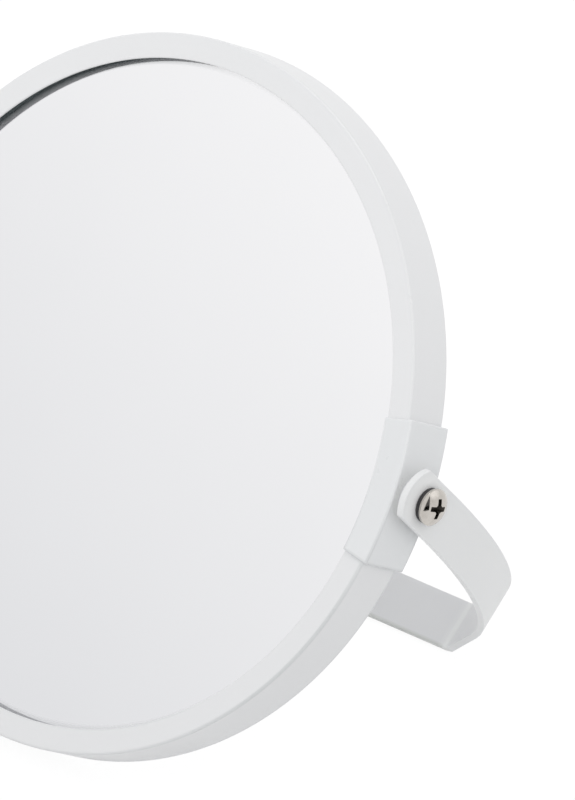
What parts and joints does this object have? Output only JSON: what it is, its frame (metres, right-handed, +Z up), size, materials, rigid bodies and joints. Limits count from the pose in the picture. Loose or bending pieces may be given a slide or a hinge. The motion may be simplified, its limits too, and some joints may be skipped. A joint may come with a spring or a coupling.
{
  "type": "table mirror",
  "caption": "Round two-sided table mirror in a white hoop, carried on two pivot screws by a flat U-shaped strap that props it up and turns all the way round.",
  "frame": {"origin": "on the table under the middle of the whole object, standing as pictured", "axes": "+Z up, the plain glass faces -Y and leans back 28.9 degrees, the pivot axis runs along X"},
  "size_m": [0.189, 0.1206, 0.1546],
  "materials": {
    "hoop_white": "moulded white plastic, soft gloss",
    "clip_white": "moulded white plastic, soft gloss",
    "strap_white": "white plastic strap, satin",
    "mirror_glass": "silvered float glass, polished",
    "foam": "grey closed-cell foam",
    "pale_plastic": "natural nylon, matt",
    "bright_screw": "bright nickel plate",
    "zinc_steel": "zinc-plated steel",
    "black_rubber": "matt black"
  },
  "bodies": {
    "mirror_head": {"rim_hoop": "hoop_white", "rear_bezel": "hoop_white", "front_glass": "mirror_glass", "rear_glass": "mirror_glass", "foam_pad": "foam", "spacer_ring": "pale_plastic", "pivot_clip_right": "clip_white", "pivot_clip_left": "clip_white", "pivot_screw_right": "bright_screw", "pivot_screw_left": "bright_screw", "head_washer_right": "black_rubber", "head_washer_left": "black_rubber", "spacer_washer_right": "pale_plastic", "spacer_washer_left": "pale_plastic", "nut_plate_right": "zinc_steel", "nut_plate_left": "zinc_steel"},
    "stand": {"stand_strap": "strap_white"}
  },
  "joints": [
    {"name": "stand_pivot", "type": "hinge", "parent": "mirror_head", "child": "stand", "pos_m": [0, -0.01223, 0.08016], "axis": [1, 0, 0], "continuous": true}
  ]
}
